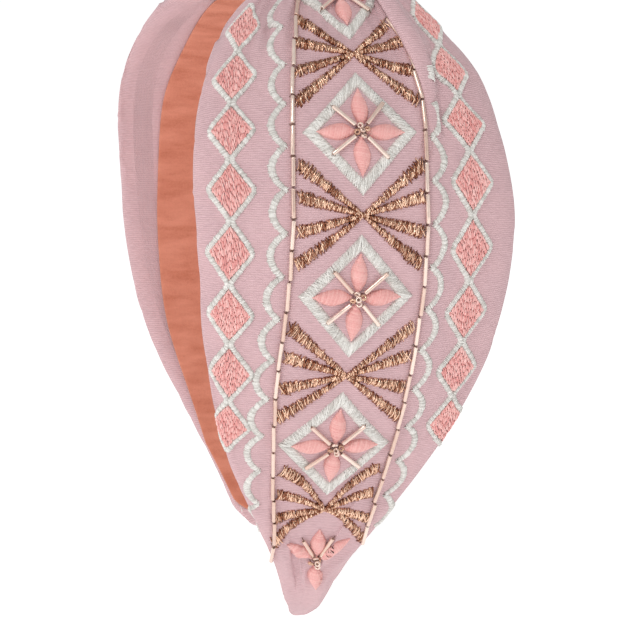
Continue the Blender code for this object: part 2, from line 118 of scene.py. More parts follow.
class Arm:
    """One arm's outline. The two arms are hand made, so one is a little shorter and slimmer.

    side is 1 for the left arm and -1 for the right one, tip_s is where the arm ends and round_s where its
    tip starts to round off, slimming is in mm, fewer counts the diamonds that the shorter arm leaves out,
    and lining_gap is how far the lining stops short of the tip.
    """

    def __init__(self, name, side, tip_s, round_s, slimming, fewer, lining_gap):
        self.name, self.side, self.tip_s, self.round_s = name, side, tip_s, round_s
        self.slimming, self.fewer, self.lining_gap = slimming, fewer, lining_gap
        self.rows = np.concatenate([np.arange(COVER_START, round_s, ROW_STEP),
                                    round_s + (tip_s - round_s) * np.sin(np.linspace(0, math.pi / 2, 10))])

    def tip_round(self, s):
        t = np.clip((s - self.round_s) / (self.tip_s - self.round_s), 0.0, 0.9985)
        return np.sqrt(1 - t * t)

    def front_edge(self, s):
        return (through(FRONT_EDGE, s) - self.slimming * ramp(s, 140, 175)) * self.tip_round(s)

    def back_edge(self, s):
        return through(BACK_EDGE, s) * self.tip_round(s)

    def middle(self, s):
        return (self.back_edge(s) - self.front_edge(s)) / 2

    def half_width(self, s):
        return (self.back_edge(s) + self.front_edge(s)) / 2

    def inner_depth(self, s):
        """Depth of the inner face; it rises inside the knot, so that the cloth clears the loop."""
        return lining_seat(s) - 2.2 * (1 - ramp(s, 16.2, 18.8))

    def edge_round(self, s):
        return np.minimum(EDGE_ROUND, 0.42 * self.half_width(s))

    def pattern_v(self, s, across):
        """Distance across the band of a place in the pattern, whose own middle line wanders a little."""
        narrowing = 1 - 0.09 * self.slimming * ramp(s, 95, 150)
        return pattern_line(s) + across * pattern_scale(s) * narrowing


def lining_seat(s):
    return INNER_DEPTH - (INNER_DEPTH - TIP_INNER_DEPTH) * ramp(s, THINNING_S, THINNING_END)


def drop(v):
    return SWELL * (v / SWELL_AT) ** 2


def place(s, v, depth):
    """Positions on the left arm, in millimetres, for arrays of s, v and depth."""
    s, v, depth = np.broadcast_arrays(np.asarray(s, float), v, depth)
    crown = s <= TEMPLE_S
    angle = np.where(crown, s / CROWN_RADIUS, math.pi / 2 + (s - TEMPLE_S) / ARM_RADIUS)
    radius = np.where(crown, CROWN_RADIUS, ARM_RADIUS) - depth
    centre_x = np.where(crown, 0.0, CROWN_RADIUS - ARM_RADIUS)
    return np.stack([centre_x + radius * np.sin(angle), v,
                     ARC_CENTRE_Z + radius * np.cos(angle)], axis=-1)


# ---------------------------------------------------------------- mesh helpers

THREAD_SIDES = 5


def new_object(name, points, faces, materials, smooth=True, face_material=None, uv=None, tone=None):
    """A mesh object from arrays; faces is a list of arrays, each of faces with one corner count."""
    mesh = bpy.data.meshes.new(name)
    corners = np.concatenate([np.asarray(f, np.int32).ravel() for f in faces])
    totals = np.concatenate([np.full(len(f), np.asarray(f).shape[1], np.int32) for f in faces])
    starts = np.concatenate([[0], np.cumsum(totals)[:-1]]).astype(np.int32)
    mesh.vertices.add(len(points))
    mesh.vertices.foreach_set("co", (np.asarray(points, float) * MM).astype(np.float32).ravel())
    mesh.loops.add(len(corners))
    mesh.loops.foreach_set("vertex_index", corners)
    mesh.polygons.add(len(totals))
    mesh.polygons.foreach_set("loop_start", starts)
    mesh.polygons.foreach_set("loop_total", totals)
    if face_material is not None:
        mesh.polygons.foreach_set("material_index", np.asarray(face_material, np.int32))
    mesh.update(calc_edges=True)
    mesh.validate()
    for material in materials:
        mesh.materials.append(material)
    if uv is not None:
        layer = mesh.uv_layers.new(name="weave")
        layer.data.foreach_set("uv", np.asarray(uv, np.float32)[corners].ravel())
    if tone is not None:
        attribute = mesh.attributes.new("tone", "FLOAT", "POINT")
        attribute.data.foreach_set("value", np.asarray(tone, np.float32))
    if smooth:
        mesh.shade_smooth()
    made = bpy.data.objects.new(name, mesh)
    bpy.context.scene.collection.objects.link(made)
    return made


def grid_faces(rows, columns, wrap=False):
    """Quads of a grid of points; with wrap, each row is a ring."""
    i = np.arange(rows - 1)[:, None]
    j = np.arange(columns if wrap else columns - 1)[None, :]
    k = (j + 1) % columns
    a, b = i * columns + j, i * columns + k
    return np.stack([a, b, b + columns, a + columns], axis=-1).reshape(-1, 4)


class Parts:
    """Collects many small bodies of one piece."""

    def __init__(self):
        self.points, self.tones = [], []
        self.faces = {}
        self.count = 0

    def add(self, points, faces, tone, slot=0):
        points = np.asarray(points, float).reshape(-1, 3)
        for group in faces:
            group = np.asarray(group)
            self.faces.setdefault((group.shape[1], slot), []).append(group + self.count)
        self.points.append(points)
        self.tones.append(np.broadcast_to(tone, len(points)))
        self.count += len(points)

    def build(self, name, materials, smooth=True, mirror=False):
        points = np.concatenate(self.points)
        if mirror:
            points = points * ACROSS_X
        groups, slots = [], []
        for (_, slot), found in sorted(self.faces.items()):
            group = np.concatenate(found)
            groups.append(group[:, ::-1] if mirror else group)
            slots += [slot] * len(group)
        return new_object(name, points, groups, materials, smooth, slots, tone=np.concatenate(self.tones))


def unit(vectors):
    return vectors / np.maximum(np.linalg.norm(vectors, axis=-1, keepdims=True), 1e-9)


def tubes(lines, ups, radius):
    """Closed thread tubes along lines (M, K, 3), with points and faces for Parts."""
    sides = THREAD_SIDES
    count, stations = lines.shape[:2]
    radius = np.broadcast_to(radius, (count, stations))[..., None, None]
    along = unit(np.gradient(lines, axis=1))
    across = unit(np.cross(along, ups))
    lift = np.cross(across, along)
    angle = 2 * math.pi * np.arange(sides) / sides
    ring = (across[:, :, None] * np.cos(angle)[:, None] + lift[:, :, None] * np.sin(angle)[:, None])
    points = lines[:, :, None] + ring * radius
    body = grid_faces(stations, sides, wrap=True)[:, ::-1]
    start = np.arange(count)[:, None, None] * stations * sides
    quads = (body[None] + start).reshape(-1, 4)
    cap = np.arange(sides)
    low = (cap[None] + start[:, 0])
    high = (cap[None, ::-1] + (stations - 1) * sides + start[:, 0])
    return points.reshape(-1, 3), [quads, np.concatenate([low, high])]


# ---------------------------------------------------------------- the padded cover

ARC_COLUMNS = 6
FOLD_AT = 0.57
FOLD_HALF = 0.04
FOLD_BLOCK = np.linspace(FOLD_AT - FOLD_HALF, FOLD_AT + FOLD_HALF, 13)
FOLD_FIRST = 50
FOLD_CLEAR = 0.065
TAU = np.concatenate([np.linspace(-1, FOLD_AT - FOLD_CLEAR, FOLD_FIRST), FOLD_BLOCK,
                      np.linspace(FOLD_AT + FOLD_CLEAR, 1, 16)])
MID_COLUMN = 2 * ARC_COLUMNS + 26
INNER_COLUMNS = 14
KNOT_PUFF = 2.4
LAP_FADE = 11.0
ROW_STEP = 1.4
FOAM_GAP = 1.5
FOAM_ENDS = (27.0, 165.0)
OUTER_COUNT = 4 * ARC_COLUMNS + len(TAU)


def fold_strength(s):
    """How far the back part of the cover laps over the centre panel, from the knot downwards."""
    return 1.15 * (1 - ramp(s, 44, 78)) * ramp(s, 20, 30)


def fold_shift(s):
    """The lap runs down along the bead line, so it moves inwards against the band's growing width."""
    return -0.08 * ramp(s, 50, 76)


def fold_weight(tau):
    """How much of the lap's shift a column takes: all of it at the lap, none at the edges."""
    reach = 1 - FOLD_CLEAR
    return np.where(tau < FOLD_AT, np.clip((tau + 1) / (FOLD_AT + reach), 0, 1),
                    np.clip((1 - tau) / (reach - FOLD_AT), 0, 1))


# The lap's own cross section as it leaves the surface, turns and comes back over itself.
FOLD_V = np.array([0.4, 1.3, 2.1, 2.3, 1.7, 0.5, -0.9, -2.1, -2.7, -2.5, -1.6, -0.4, 0.8])
FOLD_H = np.array([0.0, 0.05, 0.35, 0.85, 1.2, 1.3, 1.4, 1.6, 2.05, 2.55, 2.9, 3.05, 3.1])


# Single creases and ridges: rise, place across and its lean along s, place along, width, length and
# how the width grows.
CREASES = ((-1.5, -18.34, -0.26, 43, 1.1, 7, 0), (0.7, -15.76, -0.22, 42, 1.6, 9, 0),
           (-1.0, 21.3, 0, 62, 1.3, 15, 0.02), (0.45, 24.5, 0, 60, 2.4, 16, 0),
           (-0.5, -24.6, -0.1, 56, 1.8, 9, 0), (-0.8, -6.2, 0.2, 197, 1.6, 8, 0),
           (0.4, 3.5, 0, 206, 2.2, 6, 0))
WIDENS_FROM_S = 60.0


def wrinkles(s, v, tau):
    """Height of the soft folds that the gathering and the sewing leave in the cover."""
    s, v, tau = np.broadcast_arrays(s, v, tau)
    near_knot = 1 - ramp(s, 24, 56)
    height = 0.8 * near_knot * np.cos(2 * math.pi * (2.6 * tau + 0.012 * s + 0.1))
    height += 0.4 * (1 - ramp(s, 22, 44)) * np.cos(2 * math.pi * (6.3 * tau + 0.004 * s + 0.3))
    height += 0.22 * (1 - ramp(s, 34, 70)) * np.cos(2 * math.pi * (8.7 * tau - 0.006 * s))
    for rise, at_v, lean, at_s, wide, reach, widening in CREASES:
        width = wide + widening * np.maximum(s - WIDENS_FROM_S, 0)
        height += rise * bump(v, at_v + lean * (s - at_s), width) * bump(s, at_s, reach)
    across = (v - pattern_line(s)) / pattern_scale(s)
    for offset in (-16.5, 16.8):
        height -= 0.3 * bump(across, offset, 1.3) * ramp(s, 50, 70) * (1 - ramp(s, 175, 190))
    turn = (s - FIRST_FRAME_S) / PATTERN_PITCH
    in_frames = (1 - ramp(s, 168, 172)) * (np.abs(across) < 15)
    beside = np.abs(turn - np.round(turn)) * PATTERN_PITCH / FRAME_HALF[0] + np.abs(across) / FRAME_HALF[1]
    height += in_frames * (0.3 * (1 - ramp(beside, 0.55, 0.95)) - 0.28 * bump(beside, 1.2, 0.14)
                           + 0.2 * bump(beside, 1.45, 0.12))
    for row in (-1, 1):
        link = (2 * s - chain_s(s, row) - CHAIN_START) / CHAIN_PITCH
        edge = (np.abs(link - np.floor(link) - 0.5) * 2
                + np.abs(across - chain_line(s, row)) / 6.4)
        on_chain = ramp(s, 36, 44) * (1 - ramp(s, 154, 160))
        height += on_chain * (0.28 * (1 - ramp(edge, 0.5, 0.95)) - 0.22 * bump(edge, 1.25, 0.18))
    height += 0.16 * np.sin(0.21 * s + 0.11 * v) * np.sin(0.17 * v - 0.05 * s + 1.0)
    height += 0.08 * np.sin(0.55 * s - 0.3 * v + 2.0) * np.sin(0.43 * v + 0.2 * s)
    return height


def pattern_line(s):
    return -1.8 * ramp(s, 95, 155) + 0.8 * ramp(s, 165, 200)


def cover_grid(arm, lapped=1.0, inset=0.0):
    """Rings across the band, from one turned-in edge round to the other, inset or not from the cover."""
    s = arm.rows[:, None]
    centre, half, bottom = arm.middle(s), arm.half_width(s), arm.inner_depth(s)
    round_v = arm.edge_round(s)
    flat = half - round_v
    close = arm.tip_round(s)
    puff = KNOT_PUFF * (1 - ramp(s, 17, 30))
    arc = np.linspace(0, math.pi / 2, ARC_COLUMNS + 1)[1:][None, :]
    tau = TAU[None, :] + fold_shift(s) * fold_weight(TAU[None, :])

    def outer_depth(v, share):
        return drop(v) * (1 - 0.4 * (1 - ramp(s, 18, 40))) - puff * (1 - share ** 2)

    flat_v = centre + flat * tau
    lap = fold_strength(s) * lapped
    fold_v = centre + flat * (FOLD_AT + fold_shift(s))
    block = slice(FOLD_FIRST, FOLD_FIRST + len(FOLD_BLOCK))
    shape_v = flat_v.copy()
    shape_v[:, block] += np.minimum(lap, 1) * (fold_v + FOLD_V * np.maximum(lap, 0.3) - flat_v[:, block])

    def lap_height(v):
        return lap * FOLD_H[-1] * np.exp(-(np.maximum(v - fold_v, 0) / LAP_FADE) ** 1.5)

    raised = lap_height(flat_v) * (TAU[None, :] > FOLD_AT + FOLD_HALF + 0.001)
    raised[:, block] = lap * FOLD_H
    shape_depth = outer_depth(flat_v, tau) - wrinkles(s, flat_v, tau) - raised

    # The rounded edges: from the outer face down to mid depth, and on to the inner face.
    upper_v, upper, lower_v, lower = {}, {}, {}, {}
    for sign in (-1, 1):
        edge_v = centre + sign * half
        edge_drop = outer_depth(edge_v, 1.0)
        mid_depth = (edge_drop + bottom) / 2
        upper_v[sign] = centre + sign * (flat + round_v * np.sin(arc))
        upper[sign] = (outer_depth(upper_v[sign], 1.0) + (mid_depth - edge_drop) * (1 - np.cos(arc))
                       - wrinkles(s, upper_v[sign], sign) * np.cos(arc) ** 2)
        if sign > 0:
            upper[sign] -= lap_height(upper_v[sign]) * np.cos(arc)
        lower_v[sign] = centre + sign * (flat + round_v * np.cos(arc))
        lower[sign] = mid_depth + (bottom - mid_depth) * np.sin(arc)
    inner_tau = np.linspace(1, -1, INNER_COLUMNS)[1:-1][None, :]
    inner_v = centre + flat * inner_tau
    inner = bottom - 0.25 * (1 - inner_tau ** 2)
    v = np.concatenate([lower_v[-1][:, ::-1], upper_v[-1][:, ::-1], shape_v, upper_v[1], lower_v[1],
                        inner_v], axis=1)
    depth = np.concatenate([lower[-1][:, ::-1], upper[-1][:, ::-1], shape_depth, upper[1], lower[1],
                            inner], axis=1)
    mid = (drop(centre) + bottom) / 2
    depth = mid + (depth - mid) * (0.25 + 0.75 * close)
    if inset:
        half_depth = (bottom - drop(v)) / 2
        away = depth - drop(v) - half_depth
        depth -= away * inset / np.maximum(np.abs(away), 2 * inset)
        reach = half - 2.6 * inset
        v = centre + np.clip(v - centre, -reach, reach)
    points = place(s, v, depth)
    length = np.cumsum(np.linalg.norm(np.diff(points, axis=1, prepend=points[:, :1]), axis=2), axis=1)
    return points, length - length[:, MID_COLUMN:MID_COLUMN + 1]


SETTLE_FROM_S = 26.0
SETTLE_CAP = 0.9
SETTLE_FRAMES = 14
SETTLE_SCALE = 10.0
STIFFNESS = 12.0
SETTLE_SETTINGS = {"vertex_group_mass": "held", "quality": 5, "mass": 0.2, "tension_stiffness": STIFFNESS,
                   "compression_stiffness": STIFFNESS, "shear_stiffness": STIFFNESS / 3,
                   "bending_stiffness": 0.4, "use_pressure": True, "uniform_pressure_force": 3.0,
                   "shrink_min": -0.03}


def settle(points, quads, pinned):
    """Cloth simulation: the sewn cover takes up its padding; no point moves further than SETTLE_CAP."""
    mesh = bpy.data.meshes.new("settling")
    mesh.from_pydata((points * MM * SETTLE_SCALE).tolist(), [], quads.tolist())
    piece = bpy.data.objects.new("settling", mesh)
    bpy.context.scene.collection.objects.link(piece)
    group = piece.vertex_groups.new(name="held")
    for weight in np.unique(np.round(pinned, 2)):
        if weight > 0:
            group.add(np.nonzero(np.round(pinned, 2) == weight)[0].tolist(), float(weight), "REPLACE")
    cloth = piece.modifiers.new("cloth", "CLOTH")
    for key, value in SETTLE_SETTINGS.items():
        setattr(cloth.settings, key, value)
    cloth.settings.effector_weights.gravity = 0.0
    cloth.collision_settings.use_collision = False
    scene = bpy.context.scene
    for number in range(1, SETTLE_FRAMES + 1):
        scene.frame_set(number)
    evaluated = piece.evaluated_get(bpy.context.evaluated_depsgraph_get())
    moved = np.zeros(len(points) * 3, np.float32)
    evaluated.data.vertices.foreach_get("co", moved)
    moved = moved.reshape(-1, 3) / (MM * SETTLE_SCALE)
    scene.frame_set(1)
    bpy.data.objects.remove(piece)
    step = moved - points
    length = np.linalg.norm(step, axis=1, keepdims=True)
    step *= SETTLE_CAP * np.tanh(length / SETTLE_CAP) / np.maximum(length, 1e-6)
    return points + np.nan_to_num(step)


class Skin:
    """The finished outer face of the cover, on which all embroidery is sewn."""

    def __init__(self, arm, outer):
        self.arm = arm
        self.points = outer
        down = np.gradient(outer, axis=0)
        across = np.gradient(outer, axis=1)
        self.normals = unit(np.cross(down, across))

    def columns(self, s, v):
        """Column at (s, v); what lies further out than the flat part goes on round the edge."""
        round_v = self.arm.edge_round(s)
        flat = self.arm.half_width(s) - round_v
        away = v - self.arm.middle(s)
        past = (np.abs(away) - flat) / round_v
        angle = np.arcsin(np.clip(past, 0, 0.88)) + 1.2 * np.maximum(past - 0.88, 0)
        turned = np.minimum(angle, 3.0) / (math.pi / 2) * ARC_COLUMNS
        tau = np.clip(away / flat, -1, 1)
        shift = fold_shift(s)
        for _ in range(4):
            tau = np.clip(away / flat, -1, 1) - shift * fold_weight(tau)
        inside = np.interp(tau, TAU, np.arange(len(TAU))) + 2 * ARC_COLUMNS
        return np.where(past > 0, np.where(away > 0, 2 * ARC_COLUMNS + len(TAU) - 1 + turned,
                                           2 * ARC_COLUMNS - turned), inside)

    def clear_of_fold(self, ends):
        """Which stitch ends lie on the lap of the cover and not down in its fold."""
        s, across = ends.T
        away = self.arm.pattern_v(s, across) - self.arm.middle(s)
        flat = self.arm.half_width(s) - self.arm.edge_round(s)
        return (away / flat > FOLD_AT + fold_shift(s) + 0.05) | (fold_strength(s) < 0.15)

    def at(self, s, across, height):
        """Points of the pattern at a height above the cloth, and the cloth's normals there."""
        s, across, height = np.broadcast_arrays(np.asarray(s, float), across, height)
        v = self.arm.pattern_v(s, across)
        rows = self.arm.rows
        row = np.interp(s, rows, np.arange(len(rows)))
        column = np.clip(self.columns(s, v), 0, OUTER_COUNT - 1.001)
        i = np.minimum(row.astype(int), len(rows) - 2)
        j = column.astype(int)
        a, b = (row - i)[..., None], (column - j)[..., None]

        def blend(grid):
            return ((grid[i, j] * (1 - b) + grid[i, j + 1] * b) * (1 - a)
                    + (grid[i + 1, j] * (1 - b) + grid[i + 1, j + 1] * b) * a)

        normal = unit(blend(self.normals))
        return blend(self.points) + normal * height[..., None], normal


# ---------------------------------------------------------------- embroidery

PATTERN_PITCH = 40.17
FIRST_FRAME_S = 33.6
FRAME_COUNT = 4
FRAME_HALF = (13.4, 12.2)
FRAME_STROKE = 2.7
PETAL_START = 1.2
PETAL_LENGTH = 10.8
PETAL_HALF_WIDTH = 2.15
FAN_RAYS = (-12.3, -4.5, 4.1, 12.2)
FAN_REACH, FAN_STITCHES = 15.1, 96
SCALLOP_PITCH, SCALLOP_BASE, SCALLOP_RISE = 10.7, 18.0, 3.4
SCALLOP_DRAW_IN = {-1: 1.3, 1: 3.4}
SCALLOPS = {-1: (34.2, 14), 1: (53.4, 12)}
CHAIN_START, CHAIN_PITCH, CHAIN_COUNT = 35.3, 15.3, 8
CHAIN_HALF, FIRST_CHAIN_HALF, FILL_HALF = 5.5, 4.8, 4.8
SATIN_ARCH = (-0.25, 0.62, 1.0, 0.62, -0.25)
PETAL_ARCH = (-0.25, 0.5, 0.88, 1.0, 0.88, 0.5, -0.25)
FILL_ARCH = (-0.6, 0.7, 1.0, 0.7, -0.6)
FOIL_ARCH = (-0.2, 0.8, 1.0, 0.8, -0.2)
LAST_FLOWER = (192.6, 0.4)
LAST_PETALS = tuple(math.radians(a) for a in (8, 130, 183, 238))
LAST_BEADS = tuple(math.radians(a) for a in (153, 208))
QUARTERS = tuple(k * math.pi / 2 for k in range(4))
DIAGONALS = tuple(math.pi / 4 + k * math.pi / 2 for k in range(4))
BEAD_PITCH, BEAD_LENGTH, BEAD_RADIUS, BEAD_HOLE = 7.65, 7.1, 0.52, 0.24
BEADS_SHORT_OF_TIP = 33.0


def pattern_scale(s):
    t = np.clip((s - 20) / 60, 0.0, 1.0)
    return 1 - 0.5 * (1 - t) ** 2


def sew(skin, starts, ends, height, radius, tone_spread=0.5, profile=SATIN_ARCH):
    """Stitches from starts to ends, given as (s, across); they arch over the cloth and dip into it."""
    starts, ends = np.asarray(starts, float), np.asarray(ends, float)
    profile = np.array(profile)
    share = np.linspace(0, 1, len(profile))
    share = (share + 0.5 - 0.5 * np.cos(math.pi * share)) / 2
    path = starts[:, None] * (1 - share[None, :, None]) + ends[:, None] * share[None, :, None]
    height = np.broadcast_to(height, len(starts))[:, None] * profile[None]
    lines, ups = skin.at(path[..., 0], path[..., 1], height)
    points, faces = tubes(lines, ups, radius)
    tone = np.repeat(np.clip(0.5 + tone_spread * (RANDOM.random(len(starts)) - 0.5), 0, 1),
                     len(profile) * THREAD_SIDES)
    return points, faces, tone


def between(edge_a, edge_b, spacing, jitter=0.0, slant=0.0):
    """Stitch ends that run from one edge to the other; edges are (start, end) in (s, across)."""
    a0, a1, b0, b1 = (np.array(p, float) for p in (*edge_a, *edge_b))
    length = (np.linalg.norm(a1 - a0) + np.linalg.norm(b1 - b0)) / 2
    count = max(int(length / spacing), 2)
    t = (np.arange(count) + 0.5) / count
    shift = slant / count
    starts = a0 + (a1 - a0) * np.clip(t - shift, 0, 1)[:, None]
    ends = b0 + (b1 - b0) * np.clip(t + shift, 0, 1)[:, None]
    wobble = RANDOM.normal(0, jitter, (2, count, 2))
    return starts + wobble[0], ends + wobble[1]


def satin_line(path, width, spacing, jitter=0.04):
    """Stitch ends across a curved line of (s, across) points; width may be one value per point."""
    path = np.asarray(path, float)
    reach = np.concatenate([[0], np.cumsum(np.linalg.norm(np.diff(path, axis=0), axis=1))])
    count = int(reach[-1] / spacing)
    t = (np.arange(count) + 0.5) / count * reach[-1]
    centre = np.stack([np.interp(t, reach, path[:, k]) for k in (0, 1)], axis=1)
    along = unit(np.gradient(centre, axis=0))
    across = np.stack([-along[:, 1], along[:, 0]], axis=1)
    wide = np.interp(t, reach, np.broadcast_to(width, len(path)))[:, None] / 2
    wobble = RANDOM.normal(0, jitter, (2, count, 1))
    lean = along * 0.1
    return centre + across * (wide + wobble[0]) + lean, centre - across * (wide + wobble[1]) - lean


def make_frame(skin, s0):
    """Satin diamond outline with mitred corners."""
    half_s, half_v = FRAME_HALF
    grow = FRAME_STROKE / 2 * math.hypot(half_s, half_v)
    outer = (half_s + grow / half_v, half_v + grow / half_s)
    inner = (half_s - grow / half_v, half_v - grow / half_s)
    parts = Parts()
    turns = ((-1, 0), (0, -1), (1, 0), (0, 1))
    for k in range(4):
        a, b = turns[k], turns[(k + 1) % 4]
        edges = [[(s0 + c[0] * size[0], c[1] * size[1]) for c in (a, b)] for size in (outer, inner)]
        starts, ends = between(*edges, 0.26, 0.05)
        keep = np.minimum(starts[:, 0], ends[:, 0]) > FIRST_STITCH_S
        parts.add(*sew(skin, starts[keep], ends[keep], RANDOM.uniform(0.54, 0.7, keep.sum()), 0.15, 1.0))
        starts, ends = between(*edges, 0.8, 0.08, slant=1.5)
        keep = np.minimum(starts[:, 0], ends[:, 0]) > FIRST_STITCH_S
        parts.add(*sew(skin, starts[keep], ends[keep], 0.76, 0.14, 1.0))
    return parts


def petal(skin, parts, s0, across0, angle):
    """One padded satin petal; its stitches cross its axis."""
    count = int(PETAL_LENGTH / 0.25)
    share = (np.arange(count) + 0.5) / count
    r = PETAL_START + (PETAL_LENGTH - PETAL_START) * share
    wide = PETAL_HALF_WIDTH * np.sin(math.pi * np.clip(share, 0.06, 0.97) ** 0.9) ** 1.05
    scale = pattern_scale(s0)
    along = np.array([math.cos(angle), math.sin(angle)])
    across = np.array([-along[1], along[0]])
    jitter = RANDOM.normal(0, 0.035, (2, count))
    lean = 0.22 * wide
    centre = np.array([s0, across0]) + along * r[:, None]
    starts = centre + across * (wide + jitter[0])[:, None] + along * lean[:, None]
    ends = centre - across * (wide + jitter[1])[:, None] - along * lean[:, None]
    for ends_of in (starts, ends):
        ends_of[:, 1] = across0 + (ends_of[:, 1] - across0) / scale * max(scale, 0.8)
    parts.add(*sew(skin, starts, ends, 0.3 + 0.9 * wide / PETAL_HALF_WIDTH, 0.145, 0.45, PETAL_ARCH))


def make_flower(skin, s0, across0, angles):
    parts = Parts()
    for angle in angles:
        petal(skin, parts, s0, across0, angle)
    return parts


def make_fan(skin, s0):
    """Eight rays of copper foil thread, sewn in zigzag, which meet at the middle."""
    parts = Parts()
    last = float(ramp(s0, 140, 180))
    reach = FAN_REACH - 3.0 * last
    for sign in (-1, 1):
        for ds in FAN_RAYS:
            count = FAN_STITCHES
            t = (np.arange(count) + RANDOM.random(count)) / count
            bend = 0.18 * last * np.sin(math.pi * t) * (1 if ds < 0 else -1)
            centre = np.stack([s0 + ds * (t + bend), sign * reach * t], axis=1)
            half = 0.35 + 1.35 * t ** 0.9
            side = np.where(np.arange(count) % 2 == 0, 1.0, -1.0)
            lean = RANDOM.normal(0.42, 0.3, count) * side * half
            reach_s = half * RANDOM.uniform(0.8, 1.15, count)
            slope = sign * reach / math.hypot(ds, reach)
            offset = np.stack([reach_s, lean * slope * 0.8 - reach_s * ds / reach * sign * 0.25], axis=1)
            starts, ends = centre + offset, centre - offset
            shown = centre[:, 1] * pattern_scale(s0) < fold_line(centre[:, 0])
            heights = RANDOM.uniform(0.35, 0.95, count)[shown]
            # The wide tone spread puts many stitches at the painted shade or the painted glint end of the
            # copper.
            parts.add(*sew(skin, starts[shown], ends[shown], heights, 0.17, 1.6, FOIL_ARCH))
    return parts


def fold_line(s):
    """How far across the cloth is seen before the lap of the cover hides it."""
    return np.where(s < 52, 7.6 + 0.42 * (s - 36), 40.0)


def make_scallops(skin, row):
    """A satin line of arcs whose cusps point at the bead line."""
    parts = Parts()
    start, arcs = SCALLOPS[row]
    arcs -= 2 * skin.arm.fewer
    k = np.arange(24 * arcs + 1)
    s = start + k * SCALLOP_PITCH / 24
    crest = np.abs(np.sin(math.pi * k / 24)) ** 0.72
    shift = 1.4 * (1 - ramp(s, 58, 84)) if row > 0 else -1.6 * (1 - ramp(s, 40, 60))
    draw_in = SCALLOP_DRAW_IN[row] * ramp(s, 150, 185)
    across = row * (SCALLOP_BASE - draw_in - shift + SCALLOP_RISE * crest)
    starts, ends = satin_line(np.stack([s, across], axis=1), 1.7 - 0.4 * (1 - crest), 0.26, 0.08)
    if row > 0:
        shown = skin.clear_of_fold(starts) & skin.clear_of_fold(ends)
        starts, ends = starts[shown], ends[shown]
    parts.add(*sew(skin, starts, ends, 0.42, 0.145, 1.0))
    return parts


def chain_line(s, row):
    """The chains' middle lines: the front one draws in down the arm and the back one spreads."""
    if row < 0:
        return row * (30.8 - 4.0 * ramp(s, 100, 152))
    return row * (25.9 + 2.8 * ramp(s, 44, 88) + 0.6 * ramp(s, 88, 130))


def chain_s(s, row):
    """Where a diamond's points come to lie; the gathering draws the upper ones towards the knot."""
    return s - (3.5 if row > 0 else 1.3) * bump(s, 80, 24)


def make_chain_outline(skin, row):
    """Two zigzag satin lines that cross between the diamonds."""
    parts = Parts()
    for strand in (-1, 1):
        path = []
        for k in range(2 * (CHAIN_COUNT - skin.arm.fewer) + 1):
            s = chain_s(CHAIN_START + k * CHAIN_PITCH / 2, row)
            turn = 0.0 if k % 2 == 0 else strand * (CHAIN_HALF if k > 1 else FIRST_CHAIN_HALF)
            path.append((s, chain_line(s, row) + turn))
        path = np.array(path)
        fine = np.linspace(0, len(path) - 1, 16 * len(path))
        rounded = np.stack([np.interp(fine, np.arange(len(path)), path[:, k]) for k in (0, 1)], axis=1)
        rounded[:, 1] = np.convolve(np.pad(rounded[:, 1], 2, mode="edge"), np.full(5, 0.2), mode="valid")
        starts, ends = satin_line(rounded, 1.35, 0.28, 0.08)
        parts.add(*sew(skin, starts, ends, 0.5, 0.15, 1.0))
    return parts


def make_chain_fill(skin, row):
    """Rows of short coral stitches along the band inside each diamond."""
    parts = Parts()
    starts, ends = [], []
    for k in range(CHAIN_COUNT - skin.arm.fewer):
        s0 = CHAIN_START + (k + 0.5) * CHAIN_PITCH
        half_s, half_v = CHAIN_PITCH / 2 - 1.2, FILL_HALF
        for away in np.arange(-half_v, half_v, 0.27):
            reach = half_s * (1 - abs(away) / half_v)
            s = -reach + RANDOM.uniform(-1.6, 0)
            while s < reach:
                length = RANDOM.uniform(1.5, 2.6)
                a, b = max(s, -reach), min(s + length, reach)
                if b - a > 0.4:
                    lean = RANDOM.normal(0.12, 0.08)
                    low, high = chain_s(s0 + a - 0.1, row), chain_s(s0 + b + 0.1, row)
                    centre = chain_line((low + high) / 2, row) + away
                    starts.append((low, centre - lean))
                    ends.append((high, centre + lean))
                s += length
    heights = RANDOM.uniform(0.3, 0.5, len(starts))
    parts.add(*sew(skin, starts, ends, heights, 0.17, 0.9, profile=FILL_ARCH))
    return parts


# Half of a bead's outline, as (share of its length, share of its radius).
BEAD_SECTION = ((-0.5, 0.55), (-0.5, 0.9), (-0.47, 1.0), (-0.2, 1.0), (0.2, 1.0), (0.47, 1.0), (0.5, 0.9),
                (0.5, 0.55))


def bead_mesh(centre, along, up, length, radius, hole, sides=12):
    """A glass tube with rounded rims and an open bore."""
    across = np.cross(along, up)
    angle = 2 * math.pi * np.arange(sides) / sides
    circle = across * np.cos(angle)[:, None] + up * np.sin(angle)[:, None]
    rings = [centre + along * (p * length) + circle * (q * radius) for p, q in BEAD_SECTION]
    rings += [centre + along * (p * length) + circle * hole for p in (0.49, -0.49)]
    count = len(rings)
    faces = []
    for k in range(count):
        a = k * sides + np.arange(sides)
        b = k * sides + (np.arange(sides) + 1) % sides
        c, d = (b + sides) % (count * sides), (a + sides) % (count * sides)
        faces.append(np.stack([a, d, c, b], axis=1))
    return np.concatenate(rings), [np.concatenate(faces)]


def seed_bead(centre, axis, side, radius, hole, around=10, section=6):
    """A small round glass bead, which is a ring with a hole."""
    third = np.cross(axis, side)
    u = 2 * math.pi * np.arange(around) / around
    w = 2 * math.pi * np.arange(section) / section
    mid, thick = (radius + hole) / 2, (radius - hole) / 2
    spoke = side * np.cos(u)[:, None] + third * np.sin(u)[:, None]
    points = (centre + spoke[:, None] * (mid + thick * np.cos(w))[None, :, None]
              + axis * (1.25 * thick * np.sin(w))[None, :, None])
    faces = grid_faces(around + 1, section, wrap=True) % (around * section)
    return points.reshape(-1, 3), [faces]


